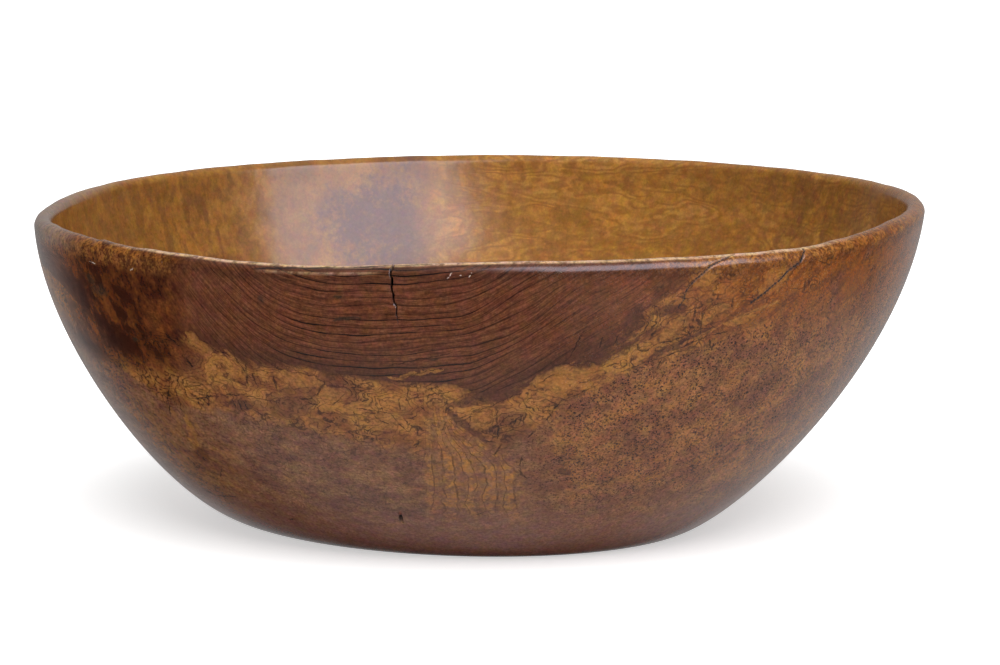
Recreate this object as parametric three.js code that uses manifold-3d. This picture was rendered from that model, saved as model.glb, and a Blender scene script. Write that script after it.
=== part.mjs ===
// A large hand-carved bowl, cut from a single piece of burl wood.
// Millimetres, +Z up. The bowl stands on its flat rest at z = 0, with +X to the right,
// +Y to the back and the origin under the middle of the rim.

import * as THREE from "three";
import { mergeVertices } from "three/addons/utils/BufferGeometryUtils.js";
import Module from "manifold-3d";

// Rim
const bowlWidth = 480;
const bowlDepth = 452;
const rimHeight = 170;
const rimThickness = 10;

// The carver's eye, not a lathe, made the rim: how far it stands out of a true oval, and how
// far it rises over its mean height, at even steps anticlockwise from the right-hand end.
const rimOut = [-2, -1, 0.5, 1, 1, 0, -0.5, -1, -0.5, 0, -0.5, 0, -0.5, 1.5, 2, -2.5];
const rimRise = [3, 2.5, 2, 2, 2, 1.5, 1, -0.5, -3.5, -2, -3.5, -5, -1.5, -1.5, -1.5, 2];

// Flat rest, an oval that is turned and lies off the rim's centre
const restLength = 250;
const restWidth = 212;
const restTurn = -32;
const restShift = -9; // to the left

// Wood
const wallThickness = 13;
const floorThickness = 16;

// Outline of the wall, which the carver let differ at the right, back, left and front
const wallReach = [0.19, 0.24, 0.34, 0.15]; // share of its run that the wall goes out before it turns up
const wallBelly = [0.5, 0.43, 0.4, 0.46]; // share of its height over which the upper wall holds its line
const rimLean = [7.5, 6, 3.5, 3.5]; // outward lean of the wall at the rim, in degrees

// Drying crack through the front of the rim
const crackAngle = 259.2;
const crackDrift = 0.6; // sideways, over its length, in degrees
const crackWidth = 1.2;
const crackLength = 25;

// Two fissures beside the burl at the right of the front, which slant down to the left
const fissureWidth = 1.4;
const fissureDepth = 3;
const fissureNarrowing = 0.7; // half-way down its length, as a share of its full width
const fissureShallowing = 0.6; // and of its full depth
const leftFissure = { angle: 299, overRim: 2.5, turn: -3.5, length: 17 };
const rightFissure = { angle: 312.8, overRim: 1, turn: -7, length: 17 };

// A bark pocket in the top of the rim, and a small hole low on the front
const pocketAngle = 306;
const pocketLength = 7;
const pocketWidth = 3;
const pocketPlace = 0.7; // share of the way over the rim, from its outer edge to its inner one
const holeAngle = 256.5;
const holeHeight = 26;
const holeDiameter = 2.4;

// Facets
const columns = 96;
const wallSteps = 18;
const rimSteps = 8;
const hollowColumns = 10;
const hollowSteps = 8;

const up = new THREE.Vector3(0, 0, 1);
const radians = THREE.MathUtils.degToRad;
const overcut = 4; // how far a cutter stands out of the wood that it cuts
const aboveRim = rimThickness / 2 + overcut; // top of a cutter over the rim's shoulder
const tip = 0.1; // width and depth of a split where it dies out

// A closed smooth curve through values at even steps round the bowl
function roundAbout(values, angle) {
  const place = (angle / (2 * Math.PI)) * values.length;
  const first = Math.floor(place);
  const f = place - first;
  const at = (k) => values[(first + k + 2 * values.length) % values.length];
  const slopeIn = (at(1) - at(-1)) / 2;
  const slopeOut = (at(2) - at(0)) / 2;
  const rise = at(1) - at(0);
  const bend = 3 * rise - 2 * slopeIn - slopeOut;
  const twist = slopeIn + slopeOut - 2 * rise;
  return at(0) + slopeIn * f + bend * f ** 2 + twist * f ** 3;
}

// Radius of an oval of the given length and width
function ovalRadius(length, width, angle) {
  const a = length / 2;
  const b = width / 2;
  return (a * b) / Math.hypot(b * Math.cos(angle), a * Math.sin(angle));
}

// The outside of the wall: share 0 is the edge of the rest, share 1 the shoulder of the rim
function outside(angle, share) {
  const away = new THREE.Vector3(Math.cos(angle), Math.sin(angle), 0);
  const rimRadius = ovalRadius(bowlWidth, bowlDepth, angle) + roundAbout(rimOut, angle);
  const shoulder = rimHeight + roundAbout(rimRise, angle) - rimThickness / 2;
  const restRadius = ovalRadius(restLength, restWidth, angle - radians(restTurn));
  const foot = new THREE.Vector3(restShift, 0, 0).addScaledVector(away, restRadius);
  const top = away.clone().multiplyScalar(rimRadius).setZ(shoulder);
  const run = top.clone().setZ(0).sub(foot);
  const hold = roundAbout(wallBelly, angle) * shoulder;
  const lean = Math.tan(radians(roundAbout(rimLean, angle)));
  const curve = new THREE.CubicBezierCurve3(
    foot,
    foot.clone().addScaledVector(run, roundAbout(wallReach, angle)),
    top.clone().addScaledVector(away, -hold * lean).addScaledVector(up, -hold),
    top,
  );
  return curve.getPoint(share);
}

// Outward direction of the wall, and its direction up towards the rim
function directions(angle, share) {
  const step = 1e-4;
  const low = Math.max(share - step, 0);
  const high = Math.min(share + step, 1);
  const climb = outside(angle, high).sub(outside(angle, low)).normalize();
  const round = outside(angle + step, share).sub(outside(angle - step, share)).normalize();
  return { out: round.cross(climb).normalize(), climb };
}

// Thickness of the wood: the floor's at share 0, the wall's half-way and the rim's at share 1
function thickness(share) {
  const floorPart = floorThickness * (1 - share) * (1 - 2 * share);
  const wallPart = wallThickness * 4 * share * (1 - share);
  return floorPart + wallPart + rimThickness * share * (2 * share - 1);
}

// The inside follows the outside at the wood's thickness
function inside(angle, share) {
  return outside(angle, share).addScaledVector(directions(angle, share).out, -thickness(share));
}

// The rim is fully rounded: turn 0 is its outer shoulder and a half turn its inner one
function rim(angle, turn) {
  const { out, climb } = directions(angle, 1);
  const radius = rimThickness / 2;
  const middle = outside(angle, 1).addScaledVector(out, -radius);
  return middle.addScaledVector(out, radius * Math.cos(turn)).addScaledVector(climb, radius * Math.sin(turn));
}

// Rings of the bowl from the edge of the rest, up the outside, over the rim and down the inside
function bowlRings() {
  const ring = (point) => Array.from({ length: columns }, (_, k) => point((2 * Math.PI * k) / columns));
  const rings = [];
  for (let k = 0; k <= wallSteps; k += 1) {
    rings.push(ring((angle) => outside(angle, k / wallSteps)));
  }
  for (let k = 1; k < rimSteps; k += 1) {
    rings.push(ring((angle) => rim(angle, (Math.PI * k) / rimSteps)));
  }
  for (let k = wallSteps; k >= 0; k -= 1) {
    rings.push(ring((angle) => inside(angle, k / wallSteps)));
  }
  return rings;
}

// A closed mesh from rings of equal count, with a point at the middle of each end
function meshFromRings(rings) {
  const count = rings[0].length;
  const middle = (ring) => ring.reduce((sum, p) => sum.add(p), new THREE.Vector3()).divideScalar(count);
  const points = [...rings.flat(), middle(rings[0]), middle(rings.at(-1))];
  const first = rings.length * count;
  const last = first + 1;
  const faces = [];
  for (let k = 0; k < count; k += 1) {
    const next = (k + 1) % count;
    faces.push(first, next, k);
    for (let row = 0; row < rings.length - 1; row += 1) {
      const low = row * count;
      const high = low + count;
      faces.push(low + k, low + next, high + next, low + k, high + next, high + k);
    }
    const end = (rings.length - 1) * count;
    faces.push(last, end + k, end + next);
  }
  const geometry = new THREE.BufferGeometry().setFromPoints(points);
  geometry.setIndex(faces);
  return geometry;
}

// Share of the wall at a height, found by halving
function shareAtHeight(angle, height) {
  let low = 0;
  let high = 1;
  for (let k = 0; k < 30; k += 1) {
    const middle = (low + high) / 2;
    if (outside(angle, middle).z < height) {
      low = middle;
    } else {
      high = middle;
    }
  }
  return (low + high) / 2;
}

function shoulderHeight(angle) {
  return outside(angle, 1).z;
}

// A thin wedge that opens a split from above the rim down to a level of the wall.
// Each level has an angle, a drop below the rim's shoulder, a width and a depth into the wood.
function splitCutter(levels) {
  const rings = levels.map(({ angle, drop, width, depth }) => {
    const around = radians(angle);
    const height = shoulderHeight(around) - drop;
    const point = outside(around, shareAtHeight(around, height)).setZ(height);
    const { out } = directions(around, 1);
    const side = new THREE.Vector3().crossVectors(up, out).normalize();
    const corner = (s, o) => point.clone().addScaledVector(side, (s * width) / 2).addScaledVector(out, o);
    return [corner(1, overcut), corner(1, -depth), corner(-1, -depth), corner(-1, overcut)];
  });
  return meshFromRings(rings.reverse());
}

// The drying crack goes right through the rim and dies out down the wall
function crackCutter() {
  const through = rimThickness + overcut;
  return splitCutter([
    { angle: crackAngle, drop: -aboveRim, width: crackWidth, depth: through },
    { angle: crackAngle, drop: 0, width: crackWidth, depth: through },
    {
      angle: crackAngle + crackDrift / 2,
      drop: crackLength / 2,
      width: crackWidth / 2,
      depth: rimThickness / 2,
    },
    { angle: crackAngle + crackDrift, drop: crackLength - rimThickness / 2, width: tip, depth: tip },
  ]);
}

// A fissure starts as a notch in the outer edge of the rim and slants away down the wall
function fissureCutter({ angle, overRim, turn, length }) {
  return splitCutter([
    { angle: angle + overRim, drop: -aboveRim, width: fissureWidth, depth: fissureDepth },
    { angle, drop: 0, width: fissureWidth, depth: fissureDepth },
    {
      angle: angle + turn / 2,
      drop: length / 2,
      width: fissureWidth * fissureNarrowing,
      depth: fissureDepth * fissureShallowing,
    },
    { angle: angle + turn, drop: length, width: tip, depth: tip },
  ]);
}

// A small hollow that the tool or a beetle left: an egg shape, long along the given line
function hollowCutter(centre, line, length, width) {
  const egg = new THREE.SphereGeometry(width / 2, hollowColumns, hollowSteps).scale(1, length / width, 1);
  const turn = new THREE.Quaternion().setFromUnitVectors(new THREE.Vector3(0, 1, 0), line);
  return egg.applyQuaternion(turn).translate(centre.x, centre.y, centre.z);
}

function pocketCutter() {
  const around = radians(pocketAngle);
  const line = new THREE.Vector3(-Math.sin(around), Math.cos(around), 0);
  return hollowCutter(rim(around, Math.PI * pocketPlace), line, pocketLength, pocketWidth);
}

function holeCutter() {
  const around = radians(holeAngle);
  const share = shareAtHeight(around, holeHeight);
  const { out } = directions(around, share);
  return hollowCutter(outside(around, share), out, holeDiameter * 2, holeDiameter);
}

const wasm = await Module();
wasm.setup();

function solidOf(geometry) {
  const bare = geometry.clone();
  bare.deleteAttribute("normal");
  bare.deleteAttribute("uv");
  const merged = mergeVertices(bare, 1e-4);
  return new wasm.Manifold(new wasm.Mesh({
    numProp: 3,
    vertProperties: new Float32Array(merged.attributes.position.array),
    triVerts: new Uint32Array(merged.index.array),
  }));
}

function geometryOf(solid) {
  const { vertProperties, triVerts } = solid.getMesh();
  const geometry = new THREE.BufferGeometry();
  geometry.setAttribute("position", new THREE.BufferAttribute(new Float32Array(vertProperties), 3));
  geometry.setIndex(new THREE.BufferAttribute(new Uint32Array(triVerts), 1));
  return geometry;
}

// The bowl with its crack, fissures, pocket and hole, set with its middle over the origin
function carvedBowl() {
  const cutters = [
    crackCutter(),
    fissureCutter(leftFissure),
    fissureCutter(rightFissure),
    pocketCutter(),
    holeCutter(),
  ];
  const blank = solidOf(meshFromRings(bowlRings()));
  const carved = cutters.reduce((wood, cutter) => wood.subtract(solidOf(cutter)), blank);
  const geometry = geometryOf(carved);
  geometry.computeBoundingBox();
  const middle = geometry.boundingBox.getCenter(new THREE.Vector3());
  geometry.translate(-middle.x, -middle.y, 0);
  geometry.computeVertexNormals();
  return geometry;
}

const burl = new THREE.MeshStandardMaterial({ color: 0x84502a, roughness: 0.32, metalness: 0 });

const bowl = new THREE.Mesh(carvedBowl(), burl);
bowl.name = "bowl";

const group = new THREE.Group();
group.add(bowl);

export default group;
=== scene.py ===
"""Looks for the burl wood bowl: a fine carved mesh over the CAD solid, its wood, and a plain studio."""
import math

import bpy
import numpy as np
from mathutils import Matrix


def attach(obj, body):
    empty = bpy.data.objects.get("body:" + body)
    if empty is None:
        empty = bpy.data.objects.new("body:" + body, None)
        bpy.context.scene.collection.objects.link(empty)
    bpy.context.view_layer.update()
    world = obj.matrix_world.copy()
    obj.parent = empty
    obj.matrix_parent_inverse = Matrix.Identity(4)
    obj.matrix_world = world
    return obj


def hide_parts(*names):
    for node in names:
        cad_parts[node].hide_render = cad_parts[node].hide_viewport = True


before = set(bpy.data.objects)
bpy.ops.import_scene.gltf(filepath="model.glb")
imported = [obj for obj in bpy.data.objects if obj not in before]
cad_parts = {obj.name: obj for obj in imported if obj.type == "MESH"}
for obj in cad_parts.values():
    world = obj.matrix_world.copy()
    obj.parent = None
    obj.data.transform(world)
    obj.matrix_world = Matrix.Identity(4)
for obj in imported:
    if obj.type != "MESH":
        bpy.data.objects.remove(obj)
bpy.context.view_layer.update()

mm_per_m = 1000.0

# Form, in millimetres, the same sizes as the solid
bowl_width = 480
bowl_depth = 452
rim_height = 170
rim_thickness = 10
wall_thickness = 13
floor_thickness = 16

# How far the rim stands out of a true oval, and how far it rises over its mean height, at even
# steps anticlockwise from the right-hand end
rim_out = [-2, -1, 0.5, 1, 1, 0, -0.5, -1, -0.5, 0, -0.5, 0, -0.5, 1.5, 2, -2.5]
rim_rise = [3, 2.5, 2, 2, 2, 1.5, 1, -0.5, -3.5, -2, -3.5, -5, -1.5, -1.5, -1.5, 2]

# Flat rest, an oval that is turned and lies off the rim's centre
rest_length = 250
rest_width = 212
rest_turn = -32  # degrees
rest_shift = -9

# Outline of the wall at the right, back, left and front
wall_reach = [0.19, 0.24, 0.34, 0.15]  # share of its run that the wall goes out before it turns up
wall_belly = [0.5, 0.43, 0.4, 0.46]  # share of its height over which the upper wall holds its line
rim_lean = [7.5, 6, 3.5, 3.5]  # outward lean of the wall at the rim, in degrees
rim_radius = rim_thickness / 2
over_rim = math.pi * rim_radius  # way over the rim from its outer shoulder to its inner one

# Splits in the wood: angle, way from the rim's outer shoulder, width and depth at each point.
# The way is negative down the outside and more than over_rim down the inside.
crack = [
    (259.2, 26, 0.2, 0.5),
    (259.2, 15, 0.9, 5.5),
    (259.2, 7, 1.2, 6),
    (259.1, 1, 0.9, 5.5),
    (259.25, -3, 1.1, 5),
    (259.2, -7, 0.9, 4.5),
    (259.45, -12, 0.8, 3.5),
    (259.7, -16, 0.6, 2.5),
    (259.8, -24, 0.2, 0.3),
]
left_fissure = [
    (303.4, 8, 0.6, 0.5),
    (301.2, 4, 0.9, 0.9),
    (299, 0, 0.7, 0.7),
    (297.6, -5, 0.8, 0.8),
    (296.4, -9, 0.5, 0.5),
    (296, -15, 0.8, 0.7),
    (295.4, -20, 0.4, 0.2),
]
right_fissure = [
    (314.2, 9, 0.8, 0.7),
    (313.8, 4, 1.2, 1.0),
    (312.8, -1, 1.0, 0.8),
    (311, -5, 1.0, 0.6),
    (309.4, -10, 0.9, 0.4),
    (307.6, -15, 0.9, 0.4),
    (305.6, -20, 0.7, 0.2),
]
rim_split = [
    (241, 2.5, 0.4, 0.1),
    (246, 5, 1.0, 0.5),
    (252, 6, 0.9, 0.4),
    (259, 6.6, 0.9, 0.5),
    (264, 7, 0.4, 0.1),
]
rim_pocket = [(303.9, 10, 1.4, 0.8), (305.2, 9.6, 2.6, 1.4), (306.6, 9, 1.4, 0.6)]
splits = [crack, left_fissure, right_fissure, rim_split, rim_pocket]
hole_angle = 256.5
hole_height = 26
hole_diameter = 2.0
hole_depth = 2.2

# Uneven wear of the rim, with a notch at its left
left_wear_angle = 214
right_wear_angle = 318
notch_angle = 212.6
notch_depth = 1.1
nick_waves = [(0.22, 23, 1), (0.16, 41, 2), (0.12, 67, 0.5)]  # height, waves round the rim, turn

# Columns of the mesh, in degrees: the step, and the finer steps between two angles at the splits
column_step = 1.0
split_columns = [(256.0, 257.0, 0.1), (258.5, 260.5, 0.07), (294.5, 315.5, 0.13)]

# Rows of the mesh, closer together above high_share and round the small hole. The inside turns
# from the wall to the floor below bend_share.
low_rows = 46
high_share = 0.85
high_rows = 34
hole_share = 0.309
hole_reach = 0.006
hole_rows = 9
rim_rows = 22
inner_high_rows = 12
inner_low_rows = 30
bend_share = 0.3
bend_rows = 12
floor_rings = 12


def round_about(values, angle):
    """A closed smooth curve through values at even steps round the bowl."""
    count = len(values)
    values = np.asarray(values, float)
    place = (angle / math.tau * count) % count
    first = np.floor(place).astype(int)
    f = place - first
    before, here, after, beyond = (values[(first + k) % count] for k in (-1, 0, 1, 2))
    slope_in = (after - before) / 2
    slope_out = (beyond - here) / 2
    rise = after - here
    bend = 3 * rise - 2 * slope_in - slope_out
    twist = slope_in + slope_out - 2 * rise
    return here + slope_in * f + bend * f**2 + twist * f**3


def oval_radius(length, width, angle):
    """Radius of an oval of the given length and width."""
    a = length / 2
    b = width / 2
    return a * b / np.hypot(b * np.cos(angle), a * np.sin(angle))


def outside(angle, share):
    """The outside of the wall: share 0 is the edge of the rest, share 1 the shoulder of the rim."""
    radius = oval_radius(bowl_width, bowl_depth, angle) + round_about(rim_out, angle)
    shoulder = rim_height + round_about(rim_rise, angle) - rim_radius
    foot = oval_radius(rest_length, rest_width, angle - math.radians(rest_turn))
    cos, sin = np.cos(angle), np.sin(angle)
    foot_x, foot_y = rest_shift + foot * cos, foot * sin
    run_x, run_y = radius * cos - foot_x, radius * sin - foot_y
    reach = round_about(wall_reach, angle)
    belly = round_about(wall_belly, angle)
    hold = belly * shoulder
    lean = np.tan(np.radians(round_about(rim_lean, angle)))
    b0, b1, b2, b3 = (1 - share)**3, 3 * (1 - share)**2 * share, 3 * (1 - share) * share**2, share**3
    x = b0 * foot_x + b1 * (foot_x + reach * run_x) + b2 * (radius - hold * lean) * cos + b3 * radius * cos
    y = b0 * foot_y + b1 * (foot_y + reach * run_y) + b2 * (radius - hold * lean) * sin + b3 * radius * sin
    z = b2 * (shoulder - hold) + b3 * shoulder
    return np.stack(np.broadcast_arrays(x, y, z), -1)


def smooth(value, low, high):
    """A soft step from 0 at low to 1 at high, where low may also be the larger of the two."""
    f = np.clip((value - low) / (high - low), 0, 1)
    return f * f * (3 - 2 * f)


def unit(vectors):
    return vectors / np.linalg.norm(vectors, axis=-1, keepdims=True)


def directions(angle, share):
    """Outward direction of the wall, and its direction up towards the rim."""
    step = 1e-4
    climb = unit(outside(angle, np.minimum(share + step, 1)) - outside(angle, np.maximum(share - step, 0)))
    along = outside(angle + step, share) - outside(angle - step, share)
    return unit(np.cross(along, climb)), climb


def thickness(share):
    """Thickness of the wood: the floor's at share 0, the wall's half-way and the rim's at share 1."""
    floor_part = floor_thickness * (1 - share) * (1 - 2 * share)
    wall_part = wall_thickness * 4 * share * (1 - share)
    return floor_part + wall_part + rim_thickness * share * (2 * share - 1)


def outer_wall(angle):
    low = np.linspace(0, high_share, low_rows)[:, None]
    high = np.linspace(high_share, 1, high_rows)[1:, None]
    near_hole = hole_share + np.linspace(-hole_reach, hole_reach, hole_rows)[:, None]
    share = np.sort(np.concatenate([low, high, near_hole]), axis=0)
    wall = outside(angle, share)
    out, _ = directions(angle, share)
    return wall, out, wall[..., 2] - wall[-1:, :, 2]


def round_rim(angle, edge):
    """Half a turn over the rim, from its outer shoulder to its inner one."""
    turn = np.linspace(0, math.pi, rim_rows)[1:-1, None]
    out, climb = directions(angle, np.ones((1, 1)))
    away = np.cos(turn)[..., None] * out + np.sin(turn)[..., None] * climb
    rim = edge - out * rim_radius + rim_radius * away
    return rim, away, rim_radius * turn + 0 * angle


def inner_wall(angle):
    """Down the inside at the wood's thickness, and round a bend to the level floor."""
    high = np.linspace(1, high_share, inner_high_rows)[:, None]
    low = np.linspace(high_share, bend_share, inner_low_rows)[1:, None]
    share = np.concatenate([high, low])
    out, _ = directions(angle, share)
    wall = outside(angle, share) - out * thickness(share)[..., None]
    start = wall[-1]
    run_down = unit(wall[-1] - wall[-2])
    corner = start + run_down * ((floor_thickness - start[:, 2]) / run_down[:, 2])[:, None]
    level = unit((corner - start) * (1, 1, 0))
    end = corner + level * np.linalg.norm(corner - start, axis=-1)[:, None]
    t = np.linspace(0, 1, bend_rows + 1)[1:, None, None]
    bend = (1 - t)**2 * start + 2 * t * (1 - t) * corner + t**2 * end
    slope = unit((1 - t) * (corner - start) + t * (end - corner))
    sideways = unit(np.cross(np.broadcast_to((0, 0, 1), level.shape), level))
    bend_out = -unit(np.cross(slope, np.broadcast_to(sideways, slope.shape)))
    inner = np.concatenate([wall, bend])
    inward = -np.concatenate([out, bend_out])
    return inner, inward, over_rim + inner[:1, :, 2] - inner[..., 2]


def disc(ring, normal, scales):
    """Smaller and smaller rings inside a ring of points."""
    middle = ring.mean(axis=0)
    points = middle + (ring - middle) * scales[:, None, None]
    return points, np.broadcast_to(np.array(normal, float), points.shape)


def carved_rows(angles):
    """Rows of points from the middle of the underside, over the rim, to the middle of the floor.
    Returns the points, their outward directions and each one's way from the outer shoulder."""
    angle = angles[None, :]
    wall, wall_out, wall_way = outer_wall(angle)
    rim, rim_away, rim_way = round_rim(angle, wall[-1:])
    inner, inward, inner_way = inner_wall(angle)
    shrink = np.linspace(1, 0, floor_rings + 1)[1:-1]
    under, down = disc(wall[0], (0, 0, -1), shrink[::-1])
    floor, up = disc(inner[-1], (0, 0, 1), shrink)
    under_way = np.full(under.shape[:2], wall_way[0].mean())
    floor_way = np.full(floor.shape[:2], inner_way[-1].mean())
    points = np.concatenate([under, wall, rim, inner, floor])
    outward = np.concatenate([down, wall_out, rim_away, inward, up])
    ways = np.concatenate([under_way, wall_way, rim_way, inner_way, floor_way])
    return points, outward, ways


def split_depths(points, angles, ways):
    """How deep the splits go at each point, and how dark their painted shade is there."""
    radius = np.hypot(points[..., 0], points[..., 1])
    # A split strays to both sides, in a long wave and a short one
    around = radius * angles[None, :] + 0.25 * np.sin(0.9 * ways) + 0.12 * np.sin(2.3 * ways + 1)
    depth = np.zeros(ways.shape)
    dark = np.zeros(ways.shape)
    for path in splits:
        for (a0, w0, width0, depth0), (a1, w1, width1, depth1) in zip(path, path[1:]):
            x0, x1 = radius * math.radians(a0), radius * math.radians(a1)
            dx, dy = x1 - x0, w1 - w0
            share = np.clip(((around - x0) * dx + (ways - w0) * dy) / (dx**2 + dy**2), 0, 1)
            gap = np.hypot(around - x0 - share * dx, ways - w0 - share * dy)
            width = width0 + share * (width1 - width0)
            aside = gap / width * 2
            here = (depth0 + share * (depth1 - depth0)) * np.sqrt(np.clip(1 - aside**2, 0, 1))
            depth = np.maximum(depth, here)
            # The darkness in the splits is painted shade
            dark = np.maximum(dark, 1 - smooth(aside, 0.8, 1.25))
    return depth, dark


def column_angles():
    even = np.arange(0, 360, column_step)
    angles = [a for a in even if not any(lo < a < hi for lo, hi, _ in split_columns)]
    for lo, hi, step in split_columns:
        angles.extend(np.arange(lo, hi, step))
    return np.radians(np.unique(np.round(angles, 3)))


angles = column_angles()
points, outward, ways = carved_rows(angles)
depth, dark = split_depths(points, angles, ways)

# The rim is worn unevenly, most of all at the front's left and right
nicks = 0.5 + sum(height * np.sin(count * angles + turn) for height, count, turn in nick_waves)
near_left = np.exp(-((angles - math.radians(left_wear_angle)) / 0.3)**2)
near_right = np.exp(-((angles - math.radians(right_wear_angle)) / 0.25)**2)
rim_uneven = nicks * (0.35 + 0.8 * near_left + 0.5 * near_right)
left_notch = notch_depth * np.exp(-((angles - math.radians(notch_angle)) / 0.012)**2)
over = smooth(ways, 0, 4) * smooth(ways, over_rim + 3, over_rim - 3)
depth = depth + over * (rim_uneven + left_notch)

# The small hole low on the front, at the outer wall's point nearest to its height and angle
hole_column = np.argmin(np.abs(angles - math.radians(hole_angle)))
off_height = np.abs(points[:, hole_column, 2] - hole_height)
off_height[ways[:, hole_column] > -rim_radius] = np.inf
hole_point = points[np.argmin(off_height), hole_column]
from_hole = np.linalg.norm(points - hole_point, axis=-1) / hole_diameter * 2
depth = np.maximum(depth, hole_depth * np.sqrt(np.clip(1 - from_hole**2, 0, 1)))
# The small hole is darkened with painted shade
dark = np.maximum(dark, 1 - smooth(from_hole, 0.9, 1.2))
is_inside = (ways > over_rim).astype(float)

# Fields of the wood. Each is a number at every point of the mesh, worked out from the point's
# place in millimetres: the front is y < 0, and back goes from 0 there to 1 behind.
x, y, z = points[..., 0], points[..., 1], points[..., 2]
back = smooth(y, -110, 110)


def line_of(pairs, at, blur=12):
    """A smooth line through a few (x, value) pairs, rounded over blur millimetres."""
    px, pv = np.array(pairs, float).T
    fine = np.arange(px[0], px[-1] + 1)
    values = np.interp(fine, px, pv)
    kernel = np.hanning(2 * blur + 1)
    kernel /= kernel.sum()
    values = np.convolve(np.pad(values, blur, mode="edge"), kernel, mode="valid")
    return np.interp(at, fine, values)


def front_and_back(front, behind, blur=12):
    """One line at the front that turns into another behind, which is rounded more."""
    return line_of(front, x, blur) * (1 - back) + line_of(behind, x, 4 * blur) * back


# Growth rings: how far each lies above its level at the front's middle
ring_front = [
    (-240, 150), (-180, 92), (-138, 41), (-114, 17), (-97, 5), (-75, 0), (-53, 1), (-26, 4), (-5, 4),
    (11, 13), (38, 30), (65, 46), (92, 62), (119, 81), (180, 116), (240, 140),
]
ring_back = [(-240, 70), (-150, 48), (-70, 12), (0, -6), (60, 2), (130, 36), (240, 110)]
ring = z - front_and_back(ring_front, ring_back, 15) + 0.2 * (y + 220) * back

# The dark straight-grained cap hangs down from the rim at the front
cap_front = [
    (-240, 150), (-200, 128), (-165, 122), (-140, 121), (-120, 114), (-100, 113), (-80, 111), (-60, 109),
    (-40, 106), (-20, 106), (-6, 100), (8, 99), (20, 103), (33, 112), (47, 115), (60, 119), (72, 126),
    (80, 134), (92, 150), (104, 168), (125, 186), (160, 200), (240, 215),
]
cap_back = [(-240, 150), (-160, 132), (-100, 150), (-20, 128), (40, 120), (110, 140), (170, 175), (240, 215)]
cap = z - front_and_back(cap_front, cap_back)

# The golden band under it, down to the burl
gold_front = [
    (-240, 108), (-180, 98), (-160, 84), (-120, 84), (-80, 76), (-40, 70), (-20, 66), (-5, 64), (10, 68),
    (24, 80), (36, 91), (58, 104), (70, 110), (88, 117), (104, 122), (120, 129), (140, 138), (170, 150),
    (240, 200),
]
gold_back = [(-240, 108), (-160, 112), (-100, 118), (-20, 92), (40, 88), (110, 108), (170, 150), (240, 200)]
gold = z - front_and_back(gold_front, gold_back)

# How clearly the growth rings show along the front
clear_front = [
    (-240, 0), (-160, 0), (-138, 0.35), (-105, 0.7), (-80, 1), (-20, 1), (5, 0.8), (30, 0.5), (70, 0.2),
    (110, 0), (240, 0),
]
clear = line_of(clear_front, x) * (1 - back) + 0.6 * back

# Where the burl's eyes are, the dark left shoulder, the orange right one, and the right end of
# the cap, where dark wood and gold reach into each other
burl = smooth(x, 12, 44) * (1 - 0.45 * smooth(z, 60, 30)) * (1 - 0.35 * back)
mottle = smooth(x, -134, -160) * smooth(z, 92, 112) * (1 - 0.85 * smooth(x, -200, -226))
glow = smooth(x, 96, 135) * smooth(z, 116, 150) * (1 - 0.5 * back)
ember = smooth(x, 25, 80) * smooth(z, 118, 140) * (1 - back)

# Stripes that fan out down the middle of the front, from a straight left edge
fan_left = -25
fan_waist = 13
fan_foot = 46
fan = (x - fan_left) / (fan_waist + (fan_foot - fan_waist) * smooth(z, 92, 54))
across_fan = smooth(fan, -0.12, 0.05) * smooth(fan, 1.15, 0.9)
stripes = across_fan * smooth(z, 12, 46) * smooth(z, 100, 86) * (1 - back)

# Curved stripes low on the left
arc_x = -112
arc_z = 92
arc_spacing = 36
left_arc = np.hypot(x - arc_x, 1.25 * (z - arc_z))
left_fan = smooth(left_arc, 34, 42) * smooth(left_arc, 86, 74) * smooth(x, -112, -130) * smooth(z, 88, 74)
fan = np.where(x < -90, left_arc / arc_spacing, fan)
stripes = np.maximum(stripes, 0.4 * left_fan * (1 - back))

# Pale wear along the top of the rim, with a painted highlight along its crest, and a short stretch of wear on
# the rim's outer side
crest_wear_and_highlight = smooth(ways, 4.8, 6.0) * smooth(ways, 10.4, 8.8) * (1 - back) * smooth(np.abs(x), 195, 150)
side_along = smooth(x, -112, -100) * smooth(x, -46, -56)
side_wear = smooth(ways, 1.2, 1.8) * smooth(ways, 3, 2.2) * side_along * (1 - back)
wear_and_highlight = np.maximum(crest_wear_and_highlight, 0.4 * side_wear)

# Painted shade darker towards both ends of the inside, and a darker mauve patch painted where the window's
# reflection falls
painted_haze_along = [(-240, 0), (-118, 0), (-98, 0.9), (-40, 0.9), (-28, 0), (240, 0)]
painted_shade_along = [
    (-240, 0.4), (-160, 0.9), (-112, 0.5), (-90, 0), (60, 0), (96, 0.1), (112, 0.3), (150, 0.35), (180, 0.8),
    (215, 0.5), (240, 0.3),
]
# A darker mauve patch painted where the window's reflection falls inside, as the reflection's grey haze
painted_haze_patch = line_of(painted_haze_along, x, 14) * back * smooth(z, 30, 90)
inner_painted_shade = line_of(painted_shade_along, x) * (0.6 + 0.4 * back)

# The rim, its golden lip at both ends of the front, and the wood that is seen from inside
crest = smooth(ways, -6, 0) * smooth(ways, 16, 11)
left_lip = 0.85 * smooth(ways, -9, -2) * smooth(x, -135, -175) * smooth(x, -236, -222)
right_lip = smooth(ways, -4, 2) * smooth(x, 60, 130)
lip = (left_lip + right_lip) * smooth(ways, 15, 10) * (1 - back)
lining = np.maximum(is_inside, back * smooth(ways, 1, 4))
on_front = (1 - is_inside) * (1 - back) * smooth(ways, 4, 1)
wood_fields = {
    "ring": ring, "cap": cap, "gold": gold, "clear": clear, "burl": burl, "mottle": mottle, "glow": glow,
    "ember": ember, "stripes": stripes, "fan": fan, "wear_and_highlight": wear_and_highlight, "shade": painted_haze_patch, "painted_shade": inner_painted_shade,
    "lining": lining, "crest": crest, "lip": lip, "front": on_front, "dark": dark,
}


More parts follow.
